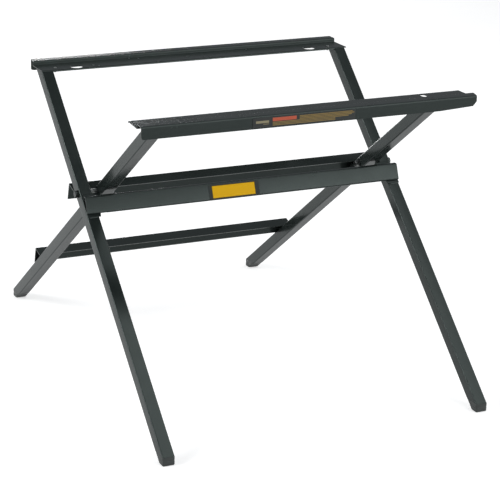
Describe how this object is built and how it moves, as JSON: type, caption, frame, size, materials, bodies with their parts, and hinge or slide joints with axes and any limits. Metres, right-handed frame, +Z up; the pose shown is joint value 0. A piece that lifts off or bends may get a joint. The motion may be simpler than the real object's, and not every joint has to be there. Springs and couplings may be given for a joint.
{
  "type": "folding table saw stand",
  "caption": "Folding X-frame stand of square tube, with two stepped flanged rails on top that carry a portable table saw by its base.",
  "frame": {"origin": "on the floor under the middle of the open stand's bounding box", "axes": "+Z up, +X to the right along the rails as seen from the front, +Y from the front feet to the rear feet"},
  "size_m": [0.739, 1.0136, 0.6234],
  "materials": {
    "frame_steel": "dark grey powder coat, satin",
    "rail_steel": "dark grey powder coat, satin",
    "foot_plastic": "dark grey moulded plastic, matte",
    "zinc": "dull zinc plate",
    "black_steel": "black oxide, satin",
    "badge": "printed plate, semi-gloss",
    "label": "printed film, satin"
  },
  "bodies": {
    "outer_frame": {"leg_outer_left": "frame_steel", "leg_outer_right": "frame_steel", "foot_outer_left": "foot_plastic", "foot_outer_right": "foot_plastic", "rail_rear": "rail_steel", "clip_rear_left": "frame_steel", "clip_rear_right": "frame_steel", "rail_screw_left": "zinc", "rail_screw_right": "zinc", "channel_front": "rail_steel", "channel_bracket_left": "frame_steel", "channel_bracket_right": "frame_steel", "badge_plate": "badge", "pivot_bolt_left": "black_steel", "pivot_bolt_right": "black_steel", "washer_outer_left": "black_steel", "washer_outer_right": "black_steel", "pivot_spacer_left": "zinc", "pivot_spacer_right": "zinc", "washer_inner_left": "zinc", "washer_inner_right": "zinc", "pivot_nut_left": "zinc", "pivot_nut_right": "zinc"},
    "inner_frame": {"leg_inner_left": "frame_steel", "leg_inner_right": "frame_steel", "foot_inner_left": "foot_plastic", "foot_inner_right": "foot_plastic", "rail_front": "rail_steel", "angle_stop": "frame_steel", "brace_lower": "frame_steel", "label_plate": "label"}
  },
  "joints": [
    {"name": "fold", "type": "hinge", "parent": "outer_frame", "child": "inner_frame", "pos_m": [0, -0.05275, 0.4073], "axis": [-1, 0, 0], "range_deg": [0, 94]}
  ]
}
